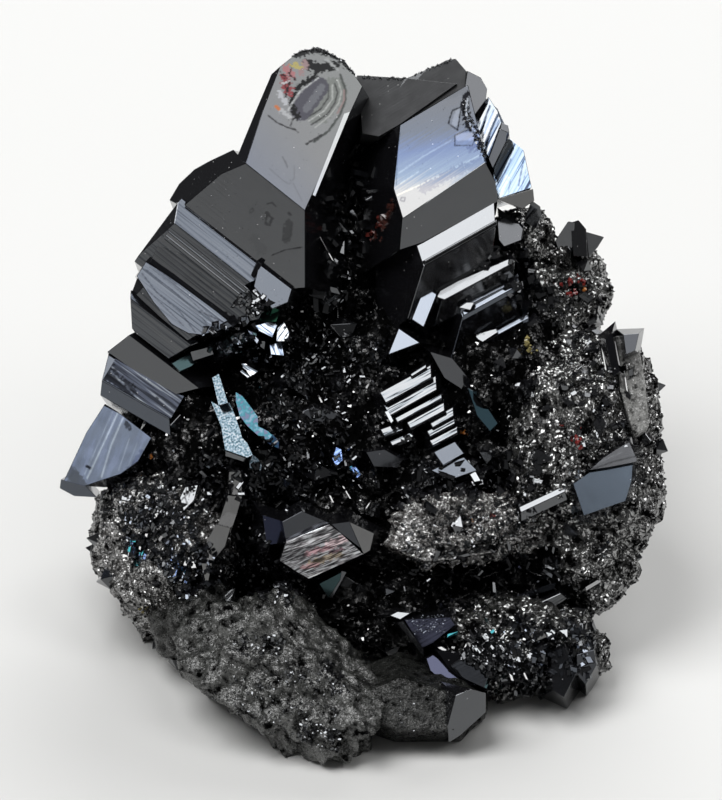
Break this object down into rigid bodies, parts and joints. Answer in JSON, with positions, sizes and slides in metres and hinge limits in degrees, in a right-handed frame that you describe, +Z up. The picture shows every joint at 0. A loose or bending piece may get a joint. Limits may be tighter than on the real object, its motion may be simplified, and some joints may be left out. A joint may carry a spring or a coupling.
{
  "type": "cassiterite crystal specimen",
  "caption": "Black, mirror-lustrous cassiterite specimen: stepped crystals in a V, grown together with a rough granular mass, broken flat underneath to rest on.",
  "frame": {"origin": "middle of the bounding box on the plane the specimen rests on", "axes": "+Z up, -Y toward the viewer of the crystals, +X to the right of that view"},
  "size_m": [0.0468, 0.045, 0.0408],
  "materials": {
    "cassiterite": "polished"
  },
  "bodies": {
    "root": {"cassiterite_cluster": "cassiterite"}
  },
  "joints": []
}
